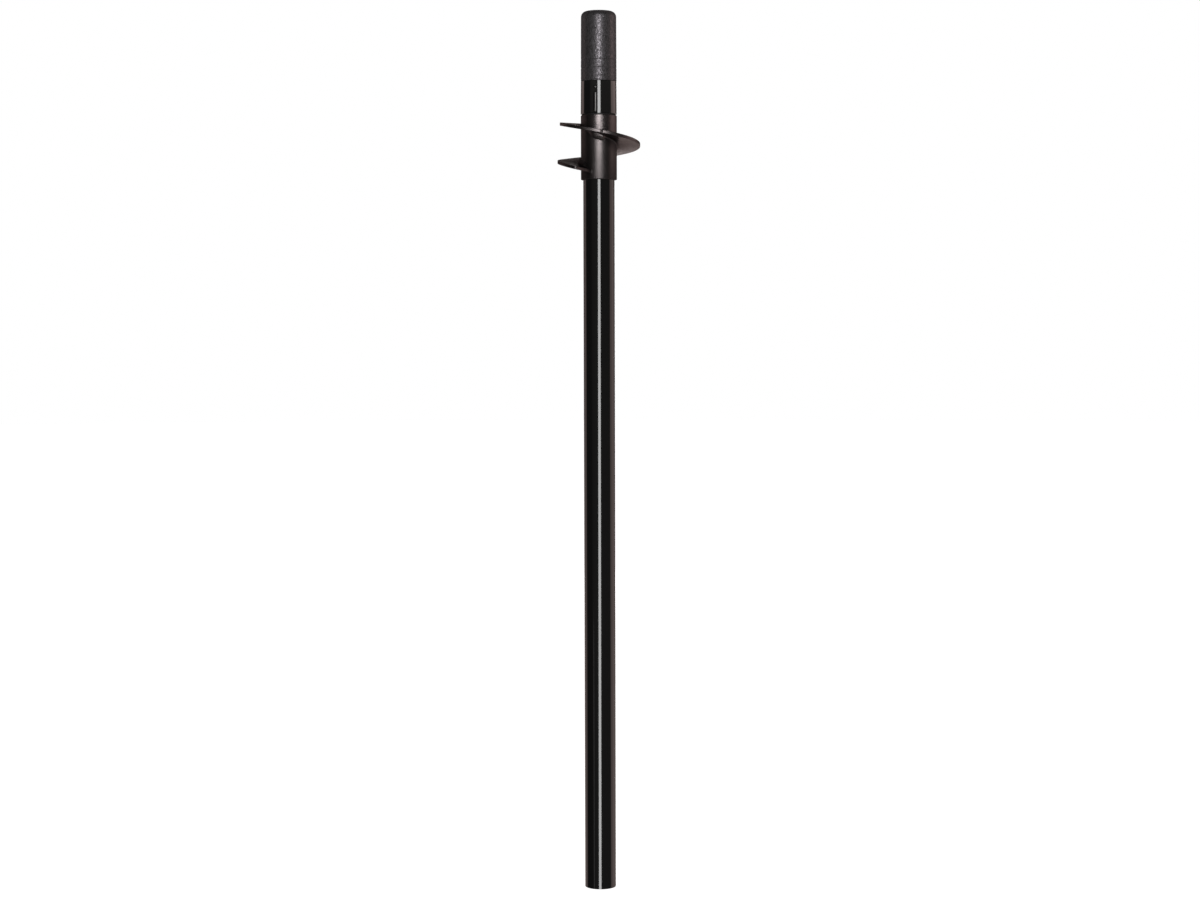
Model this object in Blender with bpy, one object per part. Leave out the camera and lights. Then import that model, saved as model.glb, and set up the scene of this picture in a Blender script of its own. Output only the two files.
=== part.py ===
"""Ground section of a garden torch pole, shown on its joint end with the auger end up.

A long gloss tube carries an auger near its ground end: a hub around the tube with a helical flight.
Above the hub a keyed sleeve covers the tube, and a pull-off cap covers the ground point plugged into
the tube's end. A spring button in the joint end locks the next pole section and takes the torque.

The origin is the centre of the joint end's rim. +Z runs along the pole and -Y is the front.
Angles around the pole start at the front and grow towards the left, -X.
"""

import math

import bmesh
import bpy

MM = 0.001
GAP = 0.3 * MM  # between pieces that touch on the real object

# Driving dimensions
POLE_LENGTH = 889 * MM
TUBE_RADIUS = 31.75 / 2 * MM
TUBE_WALL = 1.2 * MM
TUBE_TOP = 832 * MM

COLLAR_BOTTOM = 720 * MM
COLLAR_TOP = 784.4 * MM
COLLAR_RADIUS = 18.15 * MM

RING_HEIGHT = 0.8 * MM
RING_RECESS = 0.9 * MM

SLEEVE_TOP = 818.5 * MM
SLEEVE_TOP_RADIUS = 17.95 * MM
SLEEVE_BOTTOM_RADIUS = 18.2 * MM

CAP_TOP_RADIUS = 17.7 * MM
CAP_MOUTH_RADIUS = 18.0 * MM
CAP_CORNER = 5.8 * MM
CAP_CROWN = 0.3 * MM
CAP_ROOF = 7 * MM  # thickness of the cap's closed end

FLIGHT_RADIUS = 41.75 * MM
FLIGHT_THICKNESS = 3.2 * MM
FLIGHT_PITCH = 39.8 * MM
FLIGHT_MIDDLE = 752.3 * MM  # height of the flight's middle
FLIGHT_START = 33.5  # degrees around the pole of its lower end
FLIGHT_TURN = 400  # degrees from its lower end to its upper end
FLIGHT_LEAN = 1.45 * MM  # how much higher than true the rim stands on the left

KEY_ANGLE = 12  # degrees around the pole of the key and the lock pin
KEY_HEIGHT = 797.1 * MM
KEY_LENGTH = 19.4 * MM
KEY_WIDTH = 2.4 * MM
LOCK_PIN_HEIGHT = 812 * MM
LOCK_PIN_RADIUS = 1.2 * MM
KEY_FOOT = 11.5 * MM  # distance of the key's and the pin's inner ends from the pole's axis

SCREW_HEIGHTS = {"collar_screw_lower": 731 * MM, "collar_screw_upper": 768 * MM}
SCREW_RADIUS = 2.1 * MM
SCREW_HEAD_RADIUS = 4.3 * MM
SCREW_HEAD_HEIGHT = 2.4 * MM

BUTTON_HEIGHT = 40 * MM  # above the joint end
BUTTON_RADIUS = 3.8 * MM
BUTTON_STANDOFF = 4 * MM  # how far it stands out of the tube
SPRING_WIDTH = 8 * MM
SPRING_THICKNESS = 0.6 * MM

BACK = 180  # degrees around the pole
REACH = 25 * MM  # how far from the pole's axis the cutters start

# Facets around a full turn
ROUND = 64
SMALL_ROUND = 24

# Values that follow from the dimensions above
TUBE_BORE = TUBE_RADIUS - TUBE_WALL
OVER_TUBE = TUBE_RADIUS + 0.325 * MM  # inner radius of what slides over the tube
RING_BOTTOM = COLLAR_TOP + GAP
SLEEVE_BOTTOM = RING_BOTTOM + RING_HEIGHT + GAP
CAP_MOUTH = SLEEVE_TOP + GAP
CAP_BORE_TOP = POLE_LENGTH - CAP_ROOF


def start_empty():
    for obj in list(bpy.data.objects):
        bpy.data.objects.remove(obj)


def material(name, colour, roughness, metallic):
    made = bpy.data.materials.new(name)
    made.use_nodes = True
    shader = made.node_tree.nodes["Principled BSDF"]
    shader.inputs["Base Color"].default_value = (*colour, 1)
    shader.inputs["Roughness"].default_value = roughness
    shader.inputs["Metallic"].default_value = metallic
    return made


def new_object(name, bm, surface, parent=None):
    """An object made of the bmesh, with its faces turned outwards and its round sides shaded smooth."""
    bmesh.ops.recalc_face_normals(bm, faces=bm.faces)
    mesh = bpy.data.meshes.new(name)
    bm.to_mesh(mesh)
    bm.free()
    mesh.shade_smooth()
    mesh.set_sharp_from_angle(angle=math.radians(35))
    if surface:
        mesh.materials.append(surface)
    obj = bpy.data.objects.new(name, mesh)
    obj.parent = parent
    bpy.context.scene.collection.objects.link(obj)
    return obj


def turned(profile, segments=ROUND, closed=False):
    """The bmesh of a profile of (radius, height) points turned about Z. An open profile ends on the axis."""
    bm = bmesh.new()
    points = [bm.verts.new((radius, 0, height)) for radius, height in profile]
    ends = points[1:] + points[:1] if closed else points[1:]
    edges = [bm.edges.new(pair) for pair in zip(points, ends)]
    full_turn = 2 * math.pi
    bmesh.ops.spin(bm, geom=points + edges, axis=(0, 0, 1), angle=full_turn, steps=segments, use_merge=True)
    bmesh.ops.remove_doubles(bm, verts=bm.verts, dist=0.001 * MM)
    return bm


def arc(centre, radius, start, end, steps):
    """Points along an arc. Angles are in degrees, from the profile's outward direction."""
    turns = (math.radians(start + (end - start) * i / steps) for i in range(steps + 1))
    return [(centre[0] + radius * math.cos(t), centre[1] + radius * math.sin(t)) for t in turns]


def extruded(outline, low, high):
    """The bmesh of an outline of (x, y) points extruded along Z from low to high."""
    bm = bmesh.new()
    face = bm.faces.new([bm.verts.new((x, y, low)) for x, y in outline])
    moved = bmesh.ops.extrude_face_region(bm, geom=[face])["geom"]
    corners = [item for item in moved if isinstance(item, bmesh.types.BMVert)]
    bmesh.ops.translate(bm, vec=(0, 0, high - low), verts=corners)
    return bm


def stadium(length, width, steps=8):
    """An upright outline with round ends."""
    half = (length - width) / 2
    return arc((0, half), width / 2, 0, 180, steps) + arc((0, -half), width / 2, 180, 360, steps)


def face_outwards(obj, angle, height):
    """Turns a piece made along +Z so that it points out of the pole at that angle and height."""
    obj.location = (0, 0, height)
    obj.rotation_euler = (math.pi / 2, 0, -math.radians(angle))


def cutter(name, bm, angle, height):
    obj = new_object(name, bm, None)
    obj.hide_render = True
    obj.display_type = "WIRE"
    face_outwards(obj, angle, height)
    return obj


def cut(obj, *tools):
    for tool in tools:
        boolean = obj.modifiers.new(tool.name, "BOOLEAN")
        boolean.operation = "DIFFERENCE"
        boolean.object = tool


def round_hole(name, radius, angle, height, depth_from):
    """A round cutter that comes in from outside to depth_from, measured from the pole's axis."""
    profile = [(0, REACH), (radius, REACH), (radius, depth_from), (0, depth_from)]
    return cutter(name, turned(profile, SMALL_ROUND), angle, height)


def pole_tube(surface, parent):
    edge = 0.4 * MM
    profile = [
        (TUBE_BORE, TUBE_TOP), (TUBE_RADIUS, TUBE_TOP),
        (TUBE_RADIUS, edge), (TUBE_RADIUS - edge, 0),
        (TUBE_BORE, 0),
    ]
    return new_object("pole_tube", turned(profile, closed=True), surface, parent)


def auger_collar(surface, parent):
    low_edge = 0.8 * MM
    top_edge = 0.3 * MM
    profile = [
        (OVER_TUBE, COLLAR_TOP), (COLLAR_RADIUS - top_edge, COLLAR_TOP),
        (COLLAR_RADIUS, COLLAR_TOP - top_edge),
        *arc((COLLAR_RADIUS - low_edge, COLLAR_BOTTOM + low_edge), low_edge, 0, -90, 3),
        (OVER_TUBE, COLLAR_BOTTOM),
    ]
    return new_object("auger_collar", turned(profile, closed=True), surface, parent)


def flight_height(angle, radius):
    """Height of the flight's middle surface: an even helix that leans a little to one side."""
    turned_by = (angle - FLIGHT_START - FLIGHT_TURN / 2) / 360
    lean = FLIGHT_LEAN * radius / FLIGHT_RADIUS * math.sin(math.radians(angle))
    return FLIGHT_MIDDLE + FLIGHT_PITCH * turned_by + lean


def auger_flight(surface, parent):
    """A plate wound around the hub. Going up it runs from the front to the left, so it is left-handed."""
    step = 5
    end = FLIGHT_START + FLIGHT_TURN
    angles = [FLIGHT_START, *(a for a in range(0, int(end), step) if a > FLIGHT_START), end]
    half = FLIGHT_THICKNESS / 2
    edge = 0.5 * MM
    inner = COLLAR_RADIUS + GAP
    section = [
        (inner, -half), (FLIGHT_RADIUS - edge, -half), (FLIGHT_RADIUS, edge - half),
        (FLIGHT_RADIUS, half - edge), (FLIGHT_RADIUS - edge, half), (inner, half),
    ]
    bm = bmesh.new()
    rings = []
    for angle in angles:
        turn = math.radians(angle)
        rings.append([
            bm.verts.new((-r * math.sin(turn), -r * math.cos(turn), flight_height(angle, r) + up))
            for r, up in section
        ])
    for ring, following in zip(rings, rings[1:]):
        for i in range(len(section)):
            j = (i + 1) % len(section)
            bm.faces.new((ring[i], ring[j], following[j], following[i]))
    bm.faces.new(rings[0])
    bm.faces.new(rings[-1])
    return new_object("auger_flight", bm, surface, parent)


def collar_screw(name, height, surface, parent):
    """A pan head with a hex socket on a shank that passes through the hub and the tube."""
    seat = COLLAR_RADIUS + GAP
    top = seat + SCREW_HEAD_HEIGHT
    tip = 11 * MM
    edge = 0.9 * MM
    profile = [
        (0, top),
        *arc((SCREW_HEAD_RADIUS - edge, top - edge), edge, 90, 0, 3),
        (SCREW_HEAD_RADIUS, seat), (SCREW_RADIUS, seat),
        (SCREW_RADIUS, tip + edge), (SCREW_RADIUS - edge, tip), (0, tip),
    ]
    screw = new_object(name, turned(profile, SMALL_ROUND), surface, parent)
    face_outwards(screw, BACK, height)
    socket_radius = 1.8 * MM
    socket = extruded(arc((0, 0), socket_radius, 0, 300, 5), top - 1.4 * MM, top + 1 * MM)
    cut(screw, cutter(name + "_socket", socket, BACK, height))
    return screw


def spacer_ring(surface, parent):
    outer = COLLAR_RADIUS - RING_RECESS
    top = RING_BOTTOM + RING_HEIGHT
    profile = [(OVER_TUBE, top), (outer, top), (outer, RING_BOTTOM), (OVER_TUBE, RING_BOTTOM)]
    return new_object("spacer_ring", turned(profile, closed=True), surface, parent)


def lock_sleeve(surface, parent):
    edge = 0.2 * MM
    profile = [
        (OVER_TUBE, SLEEVE_TOP), (SLEEVE_TOP_RADIUS - edge, SLEEVE_TOP),
        (SLEEVE_TOP_RADIUS, SLEEVE_TOP - edge), (SLEEVE_BOTTOM_RADIUS, SLEEVE_BOTTOM + edge),
        (SLEEVE_BOTTOM_RADIUS - edge, SLEEVE_BOTTOM), (OVER_TUBE, SLEEVE_BOTTOM),
    ]
    return new_object("lock_sleeve", turned(profile, closed=True), surface, parent)


def drive_key(surface, parent):
    """A round-ended bar that passes through the sleeve and the tube into the ground point's shank."""
    top = (SLEEVE_TOP_RADIUS + SLEEVE_BOTTOM_RADIUS) / 2
    crown = 0.4 * MM
    bm = extruded(stadium(KEY_LENGTH, KEY_WIDTH), KEY_FOOT, top - crown)
    outer = max(bm.faces, key=lambda face: face.calc_center_median().z)
    bmesh.ops.inset_region(bm, faces=[outer], thickness=crown, use_even_offset=True)
    bmesh.ops.translate(bm, vec=(0, 0, crown), verts=outer.verts)
    key = new_object("drive_key", bm, surface, parent)
    face_outwards(key, KEY_ANGLE, KEY_HEIGHT)
    return key


def lock_pin(surface, parent):
    top = SLEEVE_TOP_RADIUS
    dome = 0.5 * MM
    profile = [
        (0, top), (LOCK_PIN_RADIUS * 0.6, top - dome * 0.25),
        (LOCK_PIN_RADIUS, top - dome), (LOCK_PIN_RADIUS, KEY_FOOT), (0, KEY_FOOT),
    ]
    pin = new_object("lock_pin", turned(profile, SMALL_ROUND), surface, parent)
    face_outwards(pin, KEY_ANGLE, LOCK_PIN_HEIGHT)
    return pin


# Ground point: a shank plugged into the tube, a land with a ring groove, and a cone
POINT_BOTTOM = 782 * MM
POINT_LAND = 15.6 * MM
POINT_SHOULDER = TUBE_TOP + GAP
POINT_CONE_FOOT = 842 * MM
POINT_TIP = 874.5 * MM
O_RING_HEIGHT = 837 * MM
O_RING_THICKNESS = 1.9 * MM
GROOVE_RADIUS = 13.7 * MM


def ground_point(surface, parent):
    groove = O_RING_THICKNESS / 2 + GAP
    nose = 3 * MM
    shank = TUBE_BORE - GAP
    profile = [
        *arc((0, POINT_TIP - nose), nose, 90, 22, 4),
        (POINT_LAND, POINT_CONE_FOOT),
        (POINT_LAND, O_RING_HEIGHT + groove), (GROOVE_RADIUS, O_RING_HEIGHT + groove),
        (GROOVE_RADIUS, O_RING_HEIGHT - groove), (POINT_LAND, O_RING_HEIGHT - groove),
        (POINT_LAND, POINT_SHOULDER), (shank, POINT_SHOULDER),
        (shank, POINT_BOTTOM + 1 * MM), (shank - 1 * MM, POINT_BOTTOM), (0, POINT_BOTTOM),
    ]
    return new_object("ground_point", turned(profile), surface, parent)


def cap_o_ring(surface, parent):
    """The ring in the ground point's groove that grips the cap."""
    half = O_RING_THICKNESS / 2
    centre = (GROOVE_RADIUS + GAP + half, O_RING_HEIGHT)
    section = arc(centre, half, 0, -324, 9)
    return new_object("cap_o_ring", turned(section, 48, closed=True), surface, parent)


def tip_cap(surface, parent):
    mouth_edge = 0.3 * MM
    corner = (CAP_TOP_RADIUS - CAP_CORNER, POLE_LENGTH - CAP_CROWN - CAP_CORNER)
    profile = [
        (0, POLE_LENGTH), (corner[0] / 2, POLE_LENGTH - CAP_CROWN / 4),
        *arc(corner, CAP_CORNER, 90, 0, 6),
        (CAP_MOUTH_RADIUS, CAP_MOUTH + mouth_edge), (CAP_MOUTH_RADIUS - mouth_edge, CAP_MOUTH),
        (OVER_TUBE, CAP_MOUTH), (OVER_TUBE, CAP_BORE_TOP), (0, CAP_BORE_TOP),
    ]
    return new_object("tip_cap", turned(profile), surface, parent)


def cap_disc(surface, parent):
    """The steel disc in the cap's closed end that keeps the ground point from cutting through."""
    radius = 15.6 * MM
    thickness = 1.5 * MM
    top = CAP_BORE_TOP - GAP
    bottom = top - thickness
    profile = [(0, top), (radius, top), (radius, bottom), (0, bottom)]
    return new_object("cap_disc", turned(profile), surface, parent)


# Spring button in the joint end
BUTTON_FLANGE = 13.3 * MM  # distance of the flange's outer face from the pole's axis
BUTTON_FLANGE_RADIUS = 5.5 * MM
BUTTON_FOOT = 9.9 * MM


def snap_button(surface, parent):
    top = TUBE_RADIUS + BUTTON_STANDOFF
    flange_bottom = BUTTON_FLANGE - 1.2 * MM
    stem = 2.5 * MM
    dome = 2.9 * MM
    profile = [
        (0, top), (BUTTON_RADIUS * 0.55, top - dome * 0.2), (BUTTON_RADIUS * 0.88, top - dome * 0.55),
        (BUTTON_RADIUS, top - dome), (BUTTON_RADIUS, BUTTON_FLANGE),
        (BUTTON_FLANGE_RADIUS, BUTTON_FLANGE), (BUTTON_FLANGE_RADIUS, flange_bottom),
        (stem, flange_bottom), (stem, BUTTON_FOOT), (0, BUTTON_FOOT),
    ]
    button = new_object("snap_button", turned(profile, SMALL_ROUND), surface, parent)
    face_outwards(button, BACK, BUTTON_HEIGHT)
    return button


def button_spring(surface, parent):
    """A bent strip: one arm lies along the tube's front wall, the other pushes the button out at the back."""
    arm_front = -13.5 * MM
    arm_back = BUTTON_FOOT - GAP - SPRING_THICKNESS / 2
    foot = 32 * MM
    bend_height = 86 * MM
    bend = 2.2 * MM
    centre = (arm_front + bend, bend_height)

    def path(offset):
        """The strip's middle line moved sideways by offset, towards the outside of the bend."""
        return [
            (arm_front - offset, foot),
            *arc(centre, bend + offset, 180, 10, 8),
            (arm_back + offset, 52 * MM),
            (arm_back + offset, foot),
        ]

    half = SPRING_THICKNESS / 2
    outline = path(half) + path(-half)[::-1]
    bm = extruded(outline, -SPRING_WIDTH / 2, SPRING_WIDTH / 2)
    spring = new_object("button_spring", bm, surface, parent)
    spring.rotation_euler = (math.pi / 2, 0, math.pi / 2)
    return spring


def build():
    start_empty()
    gloss_black = material("gloss_black_paint", (0.008, 0.008, 0.009), 0.12, 0.0)
    satin_black = material("satin_brown_black_paint", (0.02, 0.017, 0.016), 0.38, 0.0)
    matte_black = material("matte_black_rubber", (0.03, 0.03, 0.03), 0.6, 0.0)
    plain_rubber = material("black_rubber", (0.01, 0.01, 0.01), 0.7, 0.0)
    steel = material("zinc_plated_steel", (0.55, 0.55, 0.56), 0.35, 1.0)
    spring_steel = material("spring_steel", (0.35, 0.35, 0.37), 0.3, 1.0)

    pole = bpy.data.objects.new("pole", None)
    cap = bpy.data.objects.new("cap", None)
    for empty in (pole, cap):
        bpy.context.scene.collection.objects.link(empty)
    cap.parent = pole

    key_slot = stadium(KEY_LENGTH + 2 * GAP, KEY_WIDTH + 2 * GAP)
    slot_solid = extruded(key_slot, KEY_FOOT - GAP, REACH)
    key_slot_cutter = cutter("key_slot_cutter", slot_solid, KEY_ANGLE, KEY_HEIGHT)
    pin_hole = round_hole("pin_hole", LOCK_PIN_RADIUS + GAP, KEY_ANGLE, LOCK_PIN_HEIGHT, KEY_FOOT - GAP)
    wall_only = TUBE_BORE / 2  # a hole that stops here goes through the tube's near wall only
    button_hole = round_hole("button_hole", BUTTON_RADIUS + GAP, BACK, BUTTON_HEIGHT, wall_only)
    screw_holes = [
        round_hole(name + "_hole", SCREW_RADIUS + GAP, BACK, height, wall_only)
        for name, height in SCREW_HEIGHTS.items()
    ]

    cut(pole_tube(gloss_black, pole), key_slot_cutter, pin_hole, button_hole, *screw_holes)
    cut(auger_collar(satin_black, pole), *screw_holes)
    auger_flight(satin_black, pole)
    for name, height in SCREW_HEIGHTS.items():
        collar_screw(name, height, steel, pole)
    spacer_ring(plain_rubber, pole)
    cut(lock_sleeve(gloss_black, pole), key_slot_cutter, pin_hole)
    drive_key(steel, pole)
    lock_pin(steel, pole)
    cut(ground_point(satin_black, pole), key_slot_cutter, pin_hole)
    cap_o_ring(plain_rubber, pole)
    tip_cap(matte_black, cap)
    cap_disc(steel, cap)
    snap_button(steel, pole)
    button_spring(spring_steel, pole)


build()
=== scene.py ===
"""Looks for the ground section of a torch pole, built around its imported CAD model.

Every visible piece is made here again with fine round surfaces, in the CAD model's own frame: metres, the
origin at the centre of the joint end's rim, +Z along the pole, -Y to the front. Angles around the pole are
in degrees. They start at the front and grow towards the left, -X.
"""

import math

import bmesh
import bpy
from mathutils import Matrix, Vector, noise


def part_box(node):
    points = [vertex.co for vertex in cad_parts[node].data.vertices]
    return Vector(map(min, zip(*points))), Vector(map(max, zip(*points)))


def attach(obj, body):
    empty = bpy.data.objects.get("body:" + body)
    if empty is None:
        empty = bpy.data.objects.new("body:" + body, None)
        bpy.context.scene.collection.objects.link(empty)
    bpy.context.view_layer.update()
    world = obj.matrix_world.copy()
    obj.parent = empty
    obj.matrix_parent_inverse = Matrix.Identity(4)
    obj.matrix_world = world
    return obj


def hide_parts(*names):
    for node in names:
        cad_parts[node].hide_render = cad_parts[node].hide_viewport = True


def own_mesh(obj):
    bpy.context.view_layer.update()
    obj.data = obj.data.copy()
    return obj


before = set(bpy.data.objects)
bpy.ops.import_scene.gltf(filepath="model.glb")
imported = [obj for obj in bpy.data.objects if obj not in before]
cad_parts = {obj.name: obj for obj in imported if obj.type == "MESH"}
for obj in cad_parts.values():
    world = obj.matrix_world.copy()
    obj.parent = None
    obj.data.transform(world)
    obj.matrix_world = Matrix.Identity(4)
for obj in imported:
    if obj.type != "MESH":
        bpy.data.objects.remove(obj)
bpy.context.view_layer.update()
noise.seed_set(1)  # without it, noise_vector would follow the clock

MM = 0.001

# ---------------------------------------------------------------- places, from the CAD model


def heights(node):
    low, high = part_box(node)
    return low.z, high.z


def outer_radius(node):
    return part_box(node)[1].x


TUBE_RADIUS = outer_radius("pole_tube")
TUBE_TOP = heights("pole_tube")[1]
HUB_RADIUS = outer_radius("auger_collar")
HUB_LOW, HUB_HIGH = heights("auger_collar")
RING_LOW, RING_HIGH = heights("spacer_ring")
SLEEVE_LOW, SLEEVE_HIGH = heights("lock_sleeve")
SLEEVE_RADIUS = outer_radius("lock_sleeve")
CAP_LOW, CAP_HIGH = heights("tip_cap")
CAP_RADIUS = outer_radius("tip_cap")
FLIGHT_RADIUS = outer_radius("auger_flight")

# Repeated from the part's source, because a box doesn't give them
GAP = 0.3 * MM  # between pieces that touch on the real object
TUBE_BORE = TUBE_RADIUS - 1.2 * MM
OVER_TUBE = TUBE_RADIUS + 0.325 * MM  # inner radius of what slides over the tube
FLIGHT_THICKNESS = 3.2 * MM
FLIGHT_PITCH = 39.8 * MM
FLIGHT_MIDDLE = 752.3 * MM  # height of the flight's middle
FLIGHT_START = 33.5  # angle of its lower end
FLIGHT_TURN = 400  # degrees from its lower end to its upper end
FLIGHT_LEAN = 1.45 * MM  # how much higher than true the rim stands on the left
SLEEVE_TAPER = 0.25 * MM
CAP_TAPER = 0.3 * MM
CAP_CORNER = 5.8 * MM
CAP_CROWN = 0.3 * MM
CAP_ROOF = 7 * MM  # thickness of the cap's closed end
KEY_ANGLE = 12  # of the key and the lock pin
KEY_HEIGHT = 797.1 * MM
KEY_LENGTH = 19.4 * MM
KEY_WIDTH = 2.4 * MM
KEY_FOOT = 11.5 * MM  # distance of the key's and the pin's inner ends from the pole's axis
PIN_HEIGHT = 812 * MM
PIN_RADIUS = 1.2 * MM
CONE_FOOT = 842 * MM  # height at which the ground point starts to narrow
GROOVE_RADIUS = 13.7 * MM  # of the grip ring's groove
SCREW_RADIUS = 2.1 * MM
BUTTON_HEIGHT = 40 * MM
BUTTON_RADIUS = 3.8 * MM
BUTTON_DOME = 2.9 * MM
BUTTON_FLANGE = 13.3 * MM  # distance of the flange's outer face from the pole's axis
SPRING_WIDTH = 8 * MM
SPRING_THICKNESS = 0.6 * MM
SPRING_KNEE = 52 * MM  # height below which the spring's back arm is upright
BACK = 180  # angle of the back
REACH = 25 * MM  # how far from the pole's axis the cutters start

# Only here: marks of the flight's making, and the cap's rings
RIM_ROUNDING = 0.45 * MM
SEAM_ANGLE = 356.1  # of the butt seam across the flight
END_SLANT = 7  # degrees by which the lower end's root runs on past its rim
CAP_RINGS = [  # (millimetres above the cap's mouth, millimetres deep)
    (1.6, 0.2), (5.2, 0.1), (9.4, 0.1), (13.2, 0.3), (17.5, 0.1), (21.7, 0.26),
]
CAP_RING_WIDTH = 0.45  # millimetres

# ---------------------------------------------------------------- mesh helpers

MERGE_DISTANCE = 0.0004 * MM
SHARP = 38  # degrees between faces that don't shade as one


def around(angle, radius, height):
    """A point at an angle around the pole."""
    turn = math.radians(angle)
    return Vector((-radius * math.sin(turn), -radius * math.cos(turn), height))


def rounded(corners, closed=True, steps=5):
    """Points (radius, height) of an outline whose corners (radius, height, rounding) are rounded off."""
    points = []
    count = len(corners)
    for i, (r, z, rounding) in enumerate(corners):
        here = Vector((r, z))
        if rounding == 0 or (not closed and i in (0, count - 1)):
            points.append(here)
            continue
        before = (Vector(corners[i - 1][:2]) - here).normalized()
        after = (Vector(corners[(i + 1) % count][:2]) - here).normalized()
        half = before.angle(after) / 2
        centre = here + (before + after).normalized() * rounding / math.sin(half)
        start = here + before * rounding / math.tan(half) - centre
        end = here + after * rounding / math.tan(half) - centre
        for k in range(steps + 1):
            points.append(centre + start.slerp(end, k / steps).normalized() * rounding)
    return [tuple(p) for p in points]


def divided(points, longest, closed=True):
    """The same outline with its long straight stretches divided."""
    result = []
    ends = points[1:] + points[:1] if closed else points[1:]
    for a, b in zip(points, ends):
        pieces = max(1, math.ceil(math.dist(a, b) / longest))
        for k in range(pieces):
            t = k / pieces
            result.append((a[0] + (b[0] - a[0]) * t, a[1] + (b[1] - a[1]) * t))
    if not closed:
        result.append(points[-1])
    return result


def swept(sections, closed_section=True, closed_path=False):
    """The bmesh of sections (lists of equally many points) joined one after another. The first and the last
    section of an open path are closed with a face."""
    bm = bmesh.new()
    rings = [[bm.verts.new(p) for p in section] for section in sections]
    for ring, following in zip(rings, rings[1:] + (rings[:1] if closed_path else [])):
        count = len(ring)
        for i in range(count if closed_section else count - 1):
            j = (i + 1) % count
            bm.faces.new((ring[i], ring[j], following[j], following[i]))
    if not closed_path:
        bm.faces.new(rings[0])
        bm.faces.new(rings[-1])
    return bm


def turned(outline, segments, closed=True, relief=None):
    """The bmesh of an outline of (radius, height) points turned about Z.

    An open outline starts and ends on the axis. relief(point) gives how far a point moves outwards.
    """
    sections = []
    for k in range(segments):
        section = []
        for r, z in outline:
            point = around(360 * k / segments, r, z)
            if relief and r > 0:
                point += Vector((point.x, point.y, 0)).normalized() * relief(point)
            section.append(point)
        sections.append(section)
    return swept(sections, closed_section=closed, closed_path=True)


def placed(bm, angle, height):
    """Turns a shape made along +Z so that it points out of the pole at that angle and height."""
    turn = Matrix.Rotation(-math.radians(angle), 4, "Z") @ Matrix.Rotation(math.pi / 2, 4, "X")
    bmesh.ops.transform(bm, matrix=Matrix.Translation((0, 0, height)) @ turn, verts=bm.verts)
    return bm


def shaded(mesh, sharp):
    mesh.shade_smooth()
    mesh.set_sharp_from_angle(angle=math.radians(sharp))


def made_object(name, bm, sharp=SHARP):
    bmesh.ops.remove_doubles(bm, verts=bm.verts, dist=MERGE_DISTANCE)
    bmesh.ops.recalc_face_normals(bm, faces=bm.faces)
    mesh = bpy.data.meshes.new(name)
    bm.to_mesh(mesh)
    bm.free()
    shaded(mesh, sharp)
    obj = bpy.data.objects.new(name, mesh)
    bpy.context.scene.collection.objects.link(obj)
    return obj


def applied(obj):
    """Applies the object's modifiers to its mesh."""
    bpy.context.view_layer.update()
    shaped = obj.evaluated_get(bpy.context.evaluated_depsgraph_get())
    mesh = bpy.data.meshes.new_from_object(shaped)
    obj.modifiers.clear()
    obj.data = mesh
    shaded(mesh, SHARP)


def carve(obj, *cutters):
    for tool in cutters:
        boolean = obj.modifiers.new(tool.name, "BOOLEAN")
        boolean.operation = "DIFFERENCE"
        boolean.solver = "EXACT"
        boolean.object = tool
    applied(obj)


def soften(obj, width, angle):
    """Rounds the object's edges that are sharper than the angle."""
    bevel = obj.modifiers.new("soften", "BEVEL")
    bevel.width = width
    bevel.segments = 2
    bevel.limit_method = "ANGLE"
    bevel.angle_limit = math.radians(angle)
    bevel.use_clamp_overlap = True
    applied(obj)


def finished(obj, surface, slot, body, *nodes):
    """Gives a piece its material and its body, and hides the CAD nodes that it stands for. The slot argument
    is not used.
    """
    obj.data.materials.clear()
    obj.data.materials.append(surface)
    even = obj.modifiers.new("even_shading", "WEIGHTED_NORMAL")
    even.keep_sharp = True
    even.weight = 90
    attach(obj, body)
    if nodes:
        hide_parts(*nodes)
    return obj


def stadium(length, width, steps=12):
    """An upright outline of (x, y) points with round ends."""
    half = (length - width) / 2
    points = []
    for centre, start in ((half, 0), (-half, 180)):
        for k in range(steps + 1):
            turn = math.radians(start + 180 * k / steps)
            points.append((width / 2 * math.cos(turn), centre + width / 2 * math.sin(turn)))
    return points


# ---------------------------------------------------------------- material helpers


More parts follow.
